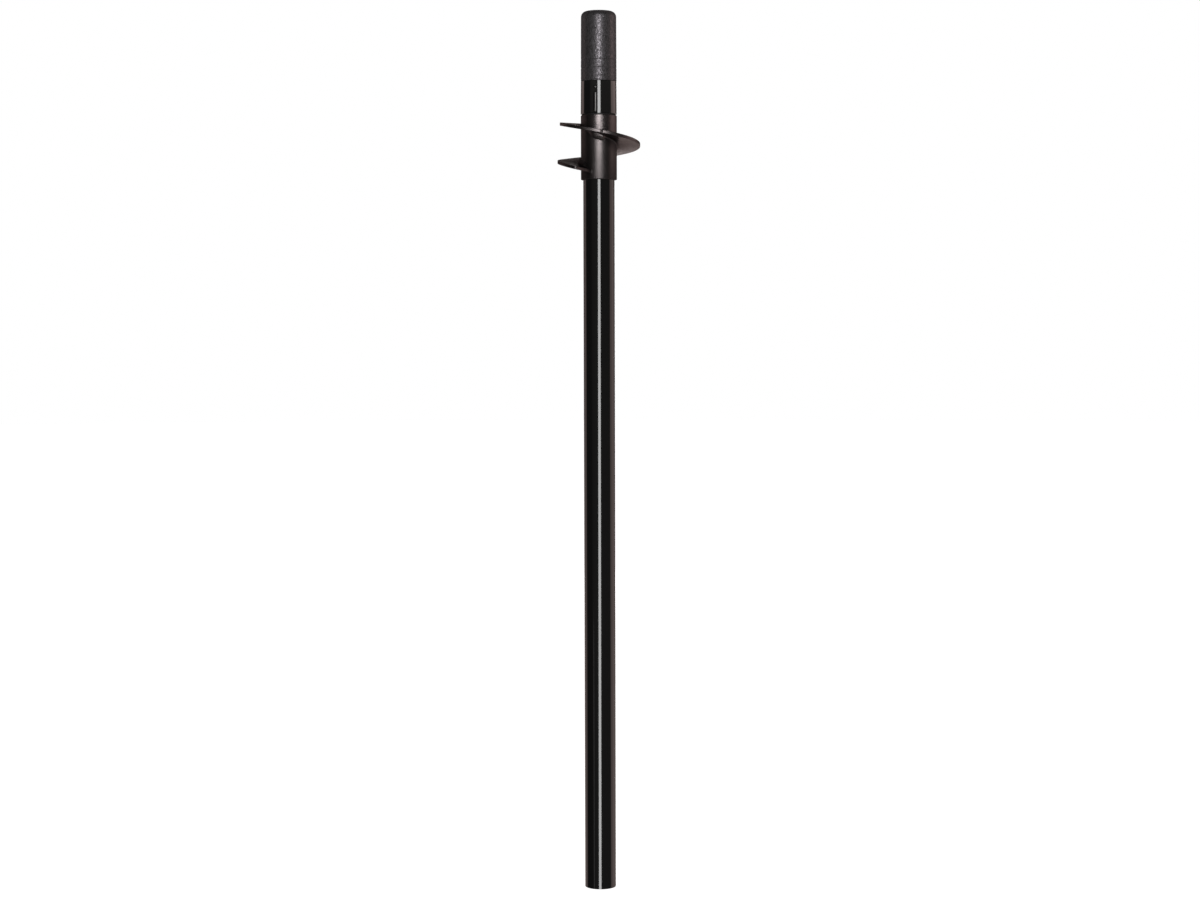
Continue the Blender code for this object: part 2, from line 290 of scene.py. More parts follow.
class Surface:
    """A node material. Values that are the same all over are set on the shader itself."""

    def __init__(self, name, colour, roughness, metallic=0.0, **more):
        self.material = bpy.data.materials.new(name)
        self.material.use_nodes = True
        self.tree = self.material.node_tree
        self.shader = self.tree.nodes["Principled BSDF"]
        self.shader.inputs["Base Color"].default_value = (*colour, 1)
        self.shader.inputs["Roughness"].default_value = roughness
        self.shader.inputs["Metallic"].default_value = metallic
        for socket, value in more.items():
            self.shader.inputs[socket.replace("_", " ")].default_value = value
        self.place = self.node("TexCoord").outputs["Object"]
        self.normal = None

    def node(self, kind, **settings):
        made = self.tree.nodes.new("ShaderNode" + kind)
        for key, value in settings.items():
            setattr(made, key, value)
        return made

    def join(self, source, target):
        self.tree.links.new(source, target)

    def scaled(self, across, along):
        """The place, with a feature size across the pole and one along it, in metres."""
        mapping = self.node("Mapping")
        mapping.inputs["Scale"].default_value = (1 / across, 1 / across, 1 / along)
        self.join(self.place, mapping.inputs["Vector"])
        return mapping.outputs["Vector"]

    def noise(self, across, along=None, detail=2.0, distortion=0.0):
        made = self.node("TexNoise")
        self.join(self.scaled(across, along or across), made.inputs["Vector"])
        made.inputs["Scale"].default_value = 1.0
        made.inputs["Detail"].default_value = detail
        made.inputs["Distortion"].default_value = distortion
        return made.outputs["Fac"]

    def spread(self, source, from_low, from_high, low, high, smooth=False):
        """The source with from_low..from_high mapped to low..high."""
        made = self.node("MapRange", interpolation_type="SMOOTHSTEP" if smooth else "LINEAR")
        self.join(source, made.inputs["Value"])
        for socket, value in (
            ("From Min", from_low), ("From Max", from_high), ("To Min", low), ("To Max", high)
        ):
            made.inputs[socket].default_value = value
        return made.outputs["Result"]

    def math(self, operation, a, b):
        made = self.node("Math", operation=operation)
        self.join(a, made.inputs[0])
        self.join(b, made.inputs[1])
        return made.outputs["Value"]

    def mixed_colour(self, factor, first, second):
        made = self.node("Mix", data_type="RGBA")
        self.join(factor, made.inputs["Factor"])
        for socket, value in ((made.inputs[6], first), (made.inputs[7], second)):
            if isinstance(value, tuple):
                socket.default_value = (*value, 1)
            else:
                self.join(value, socket)
        return made.outputs[2]

    def relief(self, height, depth):
        """Adds a height pattern whose 0 to 1 stands depth metres tall."""
        bump = self.node("Bump")
        bump.inputs["Strength"].default_value = 1.0
        bump.inputs["Distance"].default_value = depth
        self.join(height, bump.inputs["Height"])
        if self.normal:
            self.join(self.normal, bump.inputs["Normal"])
        self.normal = bump.outputs["Normal"]
        self.join(self.normal, self.shader.inputs["Normal"])

    def colour(self, source):
        self.join(source, self.shader.inputs["Base Color"])

    def rough(self, source):
        self.join(source, self.shader.inputs["Roughness"])

    def level(self):
        """Height above the joint end."""
        parts = self.node("SeparateXYZ")
        self.join(self.place, parts.inputs["Vector"])
        return parts.outputs["Z"]

    def from_axis(self):
        """Distance from the pole's axis."""
        flat = self.node("VectorMath", operation="MULTIPLY")
        self.join(self.place, flat.inputs[0])
        flat.inputs[1].default_value = (1, 1, 0)
        long = self.node("VectorMath", operation="LENGTH")
        self.join(flat.outputs["Vector"], long.inputs[0])
        return long.outputs["Value"]

    def slanted(self, from_facing, to_facing, amount):
        """0 where the surface is seen square on, and up to amount where it is seen at a slant."""
        slant = self.node("LayerWeight")
        slant.inputs["Blend"].default_value = 0.5
        return self.spread(slant.outputs["Facing"], from_facing, to_facing, 0.0, amount, smooth=True)

    def creases(self, across, along, width):
        """A net of creases around long cells: 0 in a crease, 1 on a cell."""
        waviness = 1.1
        made = self.node("TexVoronoi", feature="DISTANCE_TO_EDGE")
        warp = self.node("VectorMath", operation="MULTIPLY_ADD")
        wobble = self.node("TexNoise")
        self.join(self.scaled(across, along), wobble.inputs["Vector"])
        wobble.inputs["Scale"].default_value = 1.3
        self.join(wobble.outputs["Color"], warp.inputs[0])
        warp.inputs[1].default_value = (waviness, waviness, waviness)
        self.join(self.scaled(across, along), warp.inputs[2])
        self.join(warp.outputs["Vector"], made.inputs["Vector"])
        made.inputs["Scale"].default_value = 1.0
        return self.spread(made.outputs["Distance"], 0.0, width, 0.0, 1.0, smooth=True)


# In every material, the sizes given to noise and creases are those of the pattern's features.


def gloss_paint(name, **more):
    """Sprayed gloss black: a faint orange peel, hand marks that dull it a little, and dust."""
    black, dusty = (0.0045, 0.0045, 0.0046), (0.012, 0.011, 0.010)
    paint = Surface(name, black, 0.07, **more)
    smudges = paint.noise(9 * MM, 40 * MM, detail=4)
    dust = paint.noise(0.7 * MM, detail=1)
    hairs = paint.noise(0.5 * MM, 60 * MM, detail=1)
    marks = paint.spread(smudges, 0.35, 0.75, 0.055, 0.11)
    marks = paint.math("ADD", marks, paint.spread(hairs, 0.70, 0.78, 0.0, 0.05))
    paint.rough(marks)
    paint.colour(paint.mixed_colour(paint.spread(dust, 0.72, 0.8, 0.0, 1.0), black, dusty))
    orange_peel = paint.noise(2.6 * MM, detail=1)
    paint.relief(orange_peel, 0.006 * MM)
    return paint.material


def satin_paint(name):
    """The auger's coat: dark, slightly brown and metallic, and finely pimpled.

    It is darker and duller towards its lower end, a little duller at the flight's rim, and duller where the
    hub is seen at a slant.
    """
    # The last of these colours is the darker colour of the hub's lower end.
    clean, clouded, worn = (0.121, 0.106, 0.106), (0.097, 0.087, 0.087), (0.051, 0.046, 0.046)
    darkening_up_to = FLIGHT_MIDDLE + 25 * MM
    rim_from, rim_to = FLIGHT_RADIUS - 1.2 * MM, FLIGHT_RADIUS - 0.2 * MM
    off_hub_from, off_hub_to = HUB_RADIUS + 0.5 * MM, HUB_RADIUS + 3 * MM
    coat = Surface(name, (0.10, 0.086, 0.086), 0.36, metallic=0.98, Specular_Tint=(0.45, 0.43, 0.43, 1))
    cloud = coat.noise(11 * MM, detail=3)
    cloudy = coat.mixed_colour(cloud, clean, clouded)
    # The colour darkens towards the hub's lower end and fades out a little above the flight's middle.
    low_end_share = coat.spread(coat.level(), HUB_LOW, darkening_up_to, 1.0, 0.0)
    coat.colour(coat.mixed_colour(low_end_share, cloudy, worn))
    pimples = coat.noise(0.2 * MM, detail=1)
    by_height = coat.spread(coat.level(), HUB_LOW, HUB_HIGH, 0.36, 0.24)
    rough = coat.math("ADD", by_height, coat.spread(cloud, 0.3, 0.7, -0.03, 0.03))
    rough = coat.math("ADD", rough, coat.spread(coat.from_axis(), rim_from, rim_to, 0.0, 0.04))
    dull = coat.slanted(0.12, 0.5, 0.24)
    on_hub = coat.spread(coat.from_axis(), off_hub_from, off_hub_to, 1.0, 0.0)
    coat.rough(coat.math("ADD", rough, coat.math("MULTIPLY", dull, on_hub)))
    coat.relief(pimples, 0.062 * MM)
    waves = coat.noise(3.2 * MM, detail=2)
    coat.relief(waves, 0.04 * MM)
    return coat.material


def grained_rubber(name):
    """Moulded rubber with a wavy upright grain, duller where it is seen at a slant."""
    paler, darker = (0.024, 0.0232, 0.0235), (0.017, 0.0166, 0.0166)
    rubber = Surface(name, (0.02, 0.0195, 0.0195), 0.3, IOR=1.7, Specular_Tint=(1.0, 0.93, 1.0, 1))
    flecks = rubber.noise(0.75 * MM, 2.4 * MM, detail=2, distortion=1.0)
    cloud = rubber.noise(7 * MM, 18 * MM, detail=3)
    rubber.colour(rubber.mixed_colour(cloud, paler, darker))
    dull = rubber.slanted(0.25, 0.65, 0.42)
    rubber.rough(rubber.math("ADD", rubber.spread(flecks, 0.40, 0.60, 0.22, 0.64), dull))
    rubber.relief(flecks, 0.04 * MM)
    rubber.relief(rubber.creases(1.9 * MM, 3.6 * MM, 0.3), 0.03 * MM)
    return rubber.material


def plain_rubber(name):
    rubber = Surface(name, (0.009, 0.009, 0.009), 0.6)
    speck = rubber.noise(0.4 * MM, detail=3)
    rubber.rough(rubber.spread(speck, 0.3, 0.7, 0.5, 0.72))
    rubber.relief(speck, 0.012 * MM)
    return rubber.material


def zinc(name, colour=(0.50, 0.50, 0.51), roughness=0.3):
    """Plated steel with a faint spangle."""
    metal = Surface(name, colour, roughness, metallic=1.0)
    spangle = metal.noise(1.6 * MM, detail=3)
    darker = tuple(0.72 * c for c in colour)
    metal.colour(metal.mixed_colour(spangle, colour, darker))
    metal.rough(metal.spread(spangle, 0.3, 0.7, roughness - 0.06, roughness + 0.1))
    metal.relief(metal.noise(0.25 * MM, detail=2), 0.004 * MM)
    return metal.material


def drawn_steel(name):
    """Strip steel with the fine lines of rolling along it."""
    metal = Surface(name, (0.36, 0.36, 0.38), 0.28, metallic=1.0)
    lines = metal.noise(0.12 * MM, 9 * MM, detail=2)
    metal.colour(metal.mixed_colour(lines, (0.42, 0.42, 0.44), (0.27, 0.27, 0.29)))
    metal.rough(metal.spread(lines, 0.3, 0.7, 0.22, 0.4))
    metal.relief(lines, 0.003 * MM)
    return metal.material


def cast_iron(name):
    """Dark iron with the skin of sand casting."""
    metal = Surface(name, (0.045, 0.042, 0.04), 0.5, metallic=1.0)
    sand = metal.noise(0.8 * MM, detail=4)
    metal.colour(metal.mixed_colour(sand, (0.075, 0.07, 0.066), (0.035, 0.033, 0.031)))
    metal.rough(metal.spread(sand, 0.3, 0.7, 0.38, 0.6))
    metal.relief(sand, 0.06 * MM)
    return metal.material


# ---------------------------------------------------------------- cutters


def slot_cutter():
    outline = stadium(KEY_LENGTH + 2 * GAP, KEY_WIDTH + 2 * GAP)
    sections = [[(x, y, z) for x, y in outline] for z in (KEY_FOOT - GAP, REACH)]
    return made_object("slot_cutter", placed(swept(sections), KEY_ANGLE, KEY_HEIGHT))


def hole_cutter(name, radius, angle, height, depth_from, segments=48):
    outline = [(0, REACH), (radius, REACH), (radius, depth_from), (0, depth_from)]
    return made_object(name, placed(turned(outline, segments, closed=False), angle, height))


# ---------------------------------------------------------------- pieces


def tube(surface, cutters):
    """The painted tube. Its joint end is cut square and its edges are broken by hand."""
    outline = rounded([
        (TUBE_BORE, TUBE_TOP, 0.2 * MM), (TUBE_RADIUS, TUBE_TOP, 0.2 * MM),
        (TUBE_RADIUS, 0, 0.4 * MM), (TUBE_BORE, 0, 0.25 * MM),
    ])
    made = made_object("tube", turned(divided(outline, longest=26 * MM), segments=240))
    carve(made, *cutters)
    return finished(made, surface, "gloss_black_paint", "pole", "pole_tube")


def hub(surface, cutters):
    """The auger's hub, whose lower edge is rounded most."""
    outline = rounded([
        (OVER_TUBE, HUB_HIGH, 0.2 * MM), (HUB_RADIUS, HUB_HIGH, 0.35 * MM),
        (HUB_RADIUS, HUB_LOW, 0.85 * MM), (OVER_TUBE, HUB_LOW, 0.2 * MM),
    ])
    made = made_object("hub", turned(divided(outline, longest=6 * MM), segments=240))
    carve(made, *cutters)
    return finished(made, surface, "satin_auger_paint", "pole", "auger_collar")


def flight_level(angle, radius):
    """Height of the flight's middle surface: a helix that leans a little to one side.

    Past a slight swell its lower end is bent down, more so at the hub. Its upper end is a touch low.
    """
    bend_from = 74
    swell_at, swell_reach = 85, 35
    low_from, low_fully_after = 365, 30
    turned_by = (angle - FLIGHT_START - FLIGHT_TURN / 2) / 360
    lean = FLIGHT_LEAN * radius / FLIGHT_RADIUS * math.sin(math.radians(angle))
    past_bend = max(0.0, (bend_from - angle) / (bend_from - FLIGHT_START))
    to_root = (FLIGHT_RADIUS - radius) / (FLIGHT_RADIUS - HUB_RADIUS)
    swell_mm = 0.35 * math.exp(-((angle - swell_at) / swell_reach) ** 2)
    bend_mm = (0.95 + 0.65 * to_root) * past_bend ** 1.6
    low_mm = 0.35 * min(1.0, max(0.0, (angle - low_from) / low_fully_after))
    return FLIGHT_MIDDLE + FLIGHT_PITCH * turned_by + lean + (swell_mm - bend_mm - low_mm) * MM


def past_seam(angle, radius):
    """Distance along the plate from its butt seam."""
    return math.radians(angle - SEAM_ANGLE) * radius


def flight_section(angle, half, inner, outer):
    """The plate's cross section at an angle, from inner to outer and half to each side of its middle.

    The rim's edges are rounded. Towards the lower end the section slants, so that the end is cut at a slant.
    """
    points_along = 12
    slant_fades_over = 30
    wave_size, wave_height = 16 * MM, 0.12 * MM
    seam_width, seam_height = 1.0 * MM, 0.3 * MM
    eased = min(RIM_ROUNDING, 0.9 * half)
    flat = outer - eased
    lower = [(inner + (flat - inner) * k / points_along, -half) for k in range(points_along + 1)]
    for turn in (22.5, 45, 67.5, 90):
        a = math.radians(turn)
        lower.append((flat + eased * math.sin(a), -half + eased - eased * math.cos(a)))
    points = lower + [(r, -z) for r, z in reversed(lower)]
    section = []
    slant = END_SLANT * max(0.0, 1 - (angle - FLIGHT_START) / slant_fades_over)
    for r, z in points:
        here = angle - slant * (FLIGHT_RADIUS - r) / (FLIGHT_RADIUS - HUB_RADIUS)
        wave = noise.noise(around(angle, r, angle * 0.1 * MM) / wave_size) * wave_height
        seam = math.exp(-(past_seam(angle, r) / seam_width) ** 2) * seam_height * (1 if z > 0 else -1)
        section.append(around(here, r, flight_level(here, r) + z + wave + seam))
    return section


def flight(surface):
    """The wound plate, with rounded corners, a butt seam that is dressed down at the rim, and a rim that is a
    little uneven from shearing."""
    inner = HUB_RADIUS - 0.15 * MM
    lower_corner, upper_corner = 2.4 * MM, 3.6 * MM
    nick_depth, nick_width = 0.9 * MM, 0.8 * MM
    shear_depth, shear_size = 0.10 * MM, 5  # metres, degrees
    steps = 250
    seam_step, seam_steps, seam_clear = 0.22, 22, 5.2  # degrees, each way, degrees
    near_end = [s * MM for s in (0, 0.07, 0.2, 0.45, 0.9, 1.5, 2.2, 3.0, 3.9, 4.8)]
    per_degree = math.radians(1) * FLIGHT_RADIUS
    last = FLIGHT_START + FLIGHT_TURN
    angles = [FLIGHT_START + d / per_degree for d in near_end]
    angles += [last - d / per_degree for d in reversed(near_end)]
    first, final = angles[len(near_end) - 1], angles[len(near_end)]
    coarse = [first + (final - first) * k / steps for k in range(1, steps)]
    coarse = [a for a in coarse if abs(a - SEAM_ANGLE) > seam_clear]
    fine = [SEAM_ANGLE + seam_step * k for k in range(-seam_steps, seam_steps + 1)]
    sections = []
    for angle in sorted(angles + coarse + fine):
        to_end = min(angle - FLIGHT_START, last - angle) * per_degree
        corner = lower_corner if angle < SEAM_ANGLE / 2 else upper_corner
        into_corner = max(0.0, corner - to_end)
        outer = FLIGHT_RADIUS - corner + math.sqrt(max(0.0, corner ** 2 - into_corner ** 2))
        into_edge = max(0.0, RIM_ROUNDING - to_end)
        edge = math.sqrt(max(0.0, RIM_ROUNDING ** 2 - into_edge ** 2))
        half = FLIGHT_THICKNESS / 2 - RIM_ROUNDING + edge
        outer -= nick_depth * math.exp(-(past_seam(angle, FLIGHT_RADIUS) / nick_width) ** 2)
        outer -= shear_depth * max(0.0, noise.noise(Vector((angle / shear_size, 2.3, 0))))
        sections.append(flight_section(angle, half, inner, outer))
    made = made_object("flight", swept(sections), sharp=50)
    return finished(made, surface, "satin_auger_paint", "pole", "auger_flight")


def weld(name, surface, side, stitch, along_hub, along_plate):
    """The fillet between the hub and the flight, above the plate (side 1) or below it (side -1).

    It is a thin run that closes round the flight's ends, with one heavier stitch that bulges. stitch says
    between which angles the stitch grows and between which it fades, and along_hub and along_plate are its
    legs. The lower stitch's leg along the hub grows with the angle.
    """
    grow_from, grow_to, fade_from, fade_to = stitch
    steps = 640
    points_across = 10
    thin = 0.9 * MM
    bulge = 0.36
    wrap = 6  # degrees that the run goes on past each end of the flight, shrinking most in the first third
    shrink, least = 0.7, 0.0025
    growth = 0.009  # of the leg along the hub, for each degree
    ripple_pitch, ripple_height = 2.6 * MM, 0.08 * MM
    drift_size, drift_share = 9 * MM, 0.10
    root, foot = HUB_RADIUS - 0.3 * MM, HUB_RADIUS - 0.05 * MM
    plate_half = FLIGHT_THICKNESS / 2 - 0.05 * MM
    first, last = FLIGHT_START - END_SLANT, FLIGHT_START + FLIGHT_TURN

    def bulged(straight, curved, share):
        return straight * (1 - share) + curved * share

    sections = []
    for k in range(steps + 1):
        angle = first - wrap + (last - first + 2 * wrap) * k / steps
        past = max(0.0, first - angle, angle - last) / wrap
        size = math.sqrt(max(least, 1 - past ** 2)) * (1 - shrink * min(1.0, 3 * past))
        level = plate_half * max(0.0, 1 - 3 * past)
        run = math.radians(angle) * HUB_RADIUS
        drift = 1 + drift_share * noise.noise(Vector((run / drift_size, side, 3.7)))
        middle = flight_level(max(first, angle), HUB_RADIUS)
        grown = (angle - grow_from) / (grow_to - grow_from)
        left = (fade_to - angle) / (fade_to - fade_from)
        inside = min(1.0, max(0.0, min(grown, left)))
        heavy = inside * inside * (3 - 2 * inside)
        leg = along_hub * (1 + growth * (angle - SEAM_ANGLE)) if side < 0 else along_hub
        plate_leg = (thin + (along_plate - thin) * heavy) * size * drift
        hub_leg = (thin + (leg - thin) * heavy) * size * drift + plate_half - level
        section = [around(angle, root, middle)]
        for i in range(points_across):
            t = i / (points_across - 1)
            bow = math.sin(math.pi * t)
            phase = (run / ripple_pitch + 0.45 * bow) % 1.0
            ripple = ripple_height * (1 - (2 * phase - 1) ** 2) * bow
            out = plate_leg * bulged(1 - t, math.cos(math.pi / 2 * t), bulge * heavy) + 0.5 * ripple
            up = hub_leg * bulged(t, math.sin(math.pi / 2 * t), bulge * heavy) + 0.8 * ripple
            section.append(around(angle, foot + out, middle + side * (level + up)))
        sections.append(section)
    made = made_object(name, swept(sections), sharp=60)
    return finished(made, surface, "satin_auger_paint", "pole")


def seal_ring(surface):
    radius = outer_radius("spacer_ring")
    outline = rounded([
        (OVER_TUBE, RING_HIGH, 0), (radius, RING_HIGH, 0.3 * MM), (radius, RING_LOW, 0.3 * MM),
        (OVER_TUBE, RING_LOW, 0),
    ])
    made = made_object("seal_ring", turned(outline, segments=192))
    return finished(made, surface, "black_rubber", "pole", "spacer_ring")


def sleeve(surface, cutters):
    """The gloss sleeve, slightly narrower at its top."""
    top = SLEEVE_RADIUS - SLEEVE_TAPER
    outline = rounded([
        (OVER_TUBE, SLEEVE_HIGH, 0.15 * MM), (top, SLEEVE_HIGH, 0.25 * MM),
        (SLEEVE_RADIUS, SLEEVE_LOW, 0.25 * MM), (OVER_TUBE, SLEEVE_LOW, 0.15 * MM),
    ])
    made = made_object("sleeve", turned(divided(outline, longest=4 * MM), segments=288))
    carve(made, *cutters)
    return finished(made, surface, "gloss_black_paint", "pole", "lock_sleeve")


def key(surface):
    """The drive key: a round-ended bar with a crowned outer face."""
    top = SLEEVE_RADIUS - SLEEVE_TAPER / 2
    crown = 0.4 * MM
    ridge = 0.05 * MM  # half the width that the crown leaves at the top
    steps = 6
    sections = [[(x, y, KEY_FOOT) for x, y in stadium(KEY_LENGTH, KEY_WIDTH)]]
    for k in range(steps + 1):
        turn = math.pi / 2 * k / steps
        inset = (KEY_WIDTH / 2 - ridge) * (1 - math.cos(turn))
        level = top - crown + crown * math.sin(turn)
        outline = stadium(KEY_LENGTH - 2 * inset, KEY_WIDTH - 2 * inset)
        sections.append([(x, y, level) for x, y in outline])
    made = made_object("key", placed(swept(sections), KEY_ANGLE, KEY_HEIGHT))
    return finished(made, surface, "black_steel", "pole", "drive_key")


def pin(surface):
    """The lock pin, with a domed end."""
    top = SLEEVE_RADIUS - SLEEVE_TAPER
    dome = 0.5 * MM
    outline = [(PIN_RADIUS * math.sin(math.radians(a)), top - dome + dome * math.cos(math.radians(a)))
               for a in range(0, 91, 10)]
    outline[0] = (0, top)
    outline += [(PIN_RADIUS, KEY_FOOT), (0, KEY_FOOT)]
    made = made_object("pin", placed(turned(outline, 48, closed=False), KEY_ANGLE, PIN_HEIGHT))
    return finished(made, surface, "black_steel", "pole", "lock_pin")


def cap_relief(point):
    """The relief of the cap's outside: upright wavy flecks, slow unevenness, and six shallow rings, all of it
    fading out towards the closed end."""
    fades_over = 9 * MM
    fleck_width, fleck_length, fleck_depth = 1.5 * MM, 3.4 * MM, 0.05 * MM
    warp_size, warp_share = 8 * MM, 0.9
    uneven_size, uneven_depth = 4.5 * MM, 0.05 * MM
    side = min(1.0, (CAP_HIGH - point.z) / fades_over)
    warp = noise.noise_vector(point / warp_size) * warp_share
    place = Vector((point.x / fleck_width, point.y / fleck_width, point.z / fleck_length)) + warp
    depth = fleck_depth * noise.noise(place) + uneven_depth * noise.noise(point / uneven_size)
    for above_mouth, deep in CAP_RINGS:
        distance = (point.z - CAP_LOW) / MM - above_mouth
        depth -= deep * MM * math.exp(-(distance / CAP_RING_WIDTH) ** 2)
    return depth * side


def cap(surface):
    """The grained cap, with a rounded and slightly crowned end."""
    top = CAP_RADIUS - CAP_TAPER
    shoulder = CAP_HIGH - CAP_CROWN
    bore_top = CAP_HIGH - CAP_ROOF
    outside = rounded([
        (0, shoulder, 0), (top, shoulder, CAP_CORNER), (CAP_RADIUS, CAP_LOW, 0.3 * MM),
        (OVER_TUBE, CAP_LOW, 0),
    ], closed=False, steps=12)
    outside = divided(outside, longest=0.32 * MM, closed=False)
    flat = top - CAP_CORNER
    outside = [(r, z + CAP_CROWN * max(0.0, 1 - (r / flat) ** 2) if r < flat else z) for r, z in outside]
    outline = outside + [(OVER_TUBE, bore_top), (0, bore_top)]

    def relief(point):
        radius = math.hypot(point.x, point.y)
        in_bore = radius <= OVER_TUBE + 0.5 * MM and point.z < bore_top + 0.1 * MM
        at_centre = radius < 1 * MM
        return 0.0 if in_bore or at_centre else cap_relief(point)

    made = made_object("cap", turned(outline, 300, closed=False, relief=relief))
    return finished(made, surface, "cap_rubber", "cap", "tip_cap")


def cap_plate(surface):
    radius = outer_radius("cap_disc")
    low, high = heights("cap_disc")
    outline = rounded([
        (0, high, 0), (radius, high, 0.3 * MM), (radius, low, 0.3 * MM), (0, low, 0),
    ], closed=False)
    made = made_object("cap_plate", turned(outline, 128, closed=False))
    return finished(made, surface, "zinc_steel", "cap", "cap_disc")


def point(surface, cutters):
    """The ground point under the cap: a blunt cone, the grip ring's groove, and a shank in the tube."""
    low, high = heights("ground_point")
    land = outer_radius("ground_point")
    tip = 2.2 * MM
    ring_low, ring_high = heights("cap_o_ring")
    groove_low, groove_high = ring_low - GAP, ring_high + GAP
    shoulder = TUBE_TOP + GAP
    shank = TUBE_BORE - GAP
    outline = rounded([
        (0, high, 0), (tip, high, 1.6 * MM), (land, CONE_FOOT, 2.5 * MM),
        (land, groove_high, 0.2 * MM), (GROOVE_RADIUS, groove_high, 0.2 * MM),
        (GROOVE_RADIUS, groove_low, 0.2 * MM), (land, groove_low, 0.2 * MM),
        (land, shoulder, 0.2 * MM), (shank, shoulder, 0), (shank, low, 1 * MM), (0, low, 0),
    ], closed=False)
    outline = divided(outline, longest=5 * MM, closed=False)
    made = made_object("point", turned(outline, 144, closed=False))
    carve(made, *cutters)
    return finished(made, surface, "cast_point", "pole", "ground_point")


def grip_ring(surface):
    """The round ring that holds the cap on the point."""
    low, high = heights("cap_o_ring")
    half = (high - low) / 2
    centre = outer_radius("cap_o_ring") - half
    middle = (low + high) / 2
    outline = [(centre + half * math.cos(math.radians(a)), middle + half * math.sin(math.radians(a)))
               for a in range(0, 360, 18)]
    made = made_object("grip_ring", turned(outline, segments=144))
    return finished(made, surface, "black_rubber", "pole", "cap_o_ring")


def middle_height(node):
    low, high = heights(node)
    return (low + high) / 2


def screw(name, node, surface):
    """A pan head screw with a hex socket."""
    low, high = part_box(node)
    height = middle_height(node)
    top, head = high.y, (high.z - low.z) / 2
    seat = HUB_RADIUS + GAP
    tip = low.y
    outline = rounded([
        (0, top, 0), (head, top, 1.0 * MM), (head, seat, 0.2 * MM), (SCREW_RADIUS, seat, 0),
        (SCREW_RADIUS, tip, 0.6 * MM), (0, tip, 0),
    ], closed=False)
    made = made_object(name, placed(turned(outline, 72, closed=False), BACK, height))
    socket_radius = 1.8 * MM
    corners = [(socket_radius * math.cos(math.radians(a)), socket_radius * math.sin(math.radians(a)))
               for a in range(0, 360, 60)]
    # (share of the radius, place): a narrower floor, the straight sides, and a mouth that opens outwards
    profile = ((0.9, top - 1.5 * MM), (1, top - 1.4 * MM), (1, top - 0.25 * MM), (1.12, top + 0.3 * MM))
    sections = [[(x * share, y * share, z) for x, y in corners] for share, z in profile]
    socket = made_object(name + "_socket", placed(swept(sections), BACK, height))
    carve(made, socket)
    bpy.data.objects.remove(socket)
    return finished(made, surface, "zinc_steel", "pole", node)


def button(surface):
    """The spring button: a worn dome, a flange inside the tube, and a stem."""
    low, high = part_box("snap_button")
    top, foot = high.y, low.y
    flange_radius, flange_foot = 5.5 * MM, BUTTON_FLANGE - 1.2 * MM
    stem = 2.5 * MM
    roundness = [(math.sin(math.radians(a)) ** 0.9, math.cos(math.radians(a)) ** 0.75)
                 for a in range(10, 90, 8)]
    side = [(BUTTON_RADIUS * across, top - BUTTON_DOME + BUTTON_DOME * up) for across, up in roundness]
    outline = [(0, top)] + side + [(BUTTON_RADIUS, top - BUTTON_DOME)] + rounded([
        (BUTTON_RADIUS, BUTTON_FLANGE + 1 * MM, 0), (BUTTON_RADIUS, BUTTON_FLANGE, 0.15 * MM),
        (flange_radius, BUTTON_FLANGE, 0.2 * MM), (flange_radius, flange_foot, 0.2 * MM),
        (stem, flange_foot, 0), (stem, foot, 0.2 * MM), (0, foot, 0),
    ], closed=False)
    made = made_object("button", placed(turned(outline, 72, closed=False), BACK, BUTTON_HEIGHT))
    return finished(made, surface, "zinc_steel", "button", "snap_button")


def strip_spring(surface):
    """The bent strip that pushes the button out."""
    low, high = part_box("button_spring")
    half = SPRING_THICKNESS / 2
    front, back = low.y + half, high.y - half
    foot, bend = low.z, 2.2 * MM
    top = high.z - bend - half
    path = [(front, foot + (top - foot) * k / 10) for k in range(10)]
    for a in range(180, 5, -10):
        turn = math.radians(a)
        path.append((front + bend + bend * math.cos(turn), top + bend * math.sin(turn)))
    last = path[-1]
    path += [(last[0] + (back - last[0]) * k / 8, last[1] + (SPRING_KNEE - last[1]) * k / 8)
             for k in range(1, 9)]
    path += [(back, SPRING_KNEE + (foot - SPRING_KNEE) * k / 5) for k in range(1, 6)]
    sections = []
    for k, (y, z) in enumerate(path):
        before, after = path[max(0, k - 1)], path[min(len(path) - 1, k + 1)]
        along = Vector((after[0] - before[0], after[1] - before[1])).normalized()
        side = Vector((-along.y, along.x)) * SPRING_THICKNESS / 2
        x = SPRING_WIDTH / 2
        sections.append([
            (-x, y + side.x, z + side.y), (x, y + side.x, z + side.y),
            (x, y - side.x, z - side.y), (-x, y - side.x, z - side.y),
        ])
    made = made_object("strip_spring", swept(sections), sharp=50)
    soften(made, 0.12 * MM, angle=60)
    finished(made, surface, "spring_steel", "pole", "button_spring")
    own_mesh(made)
    return made


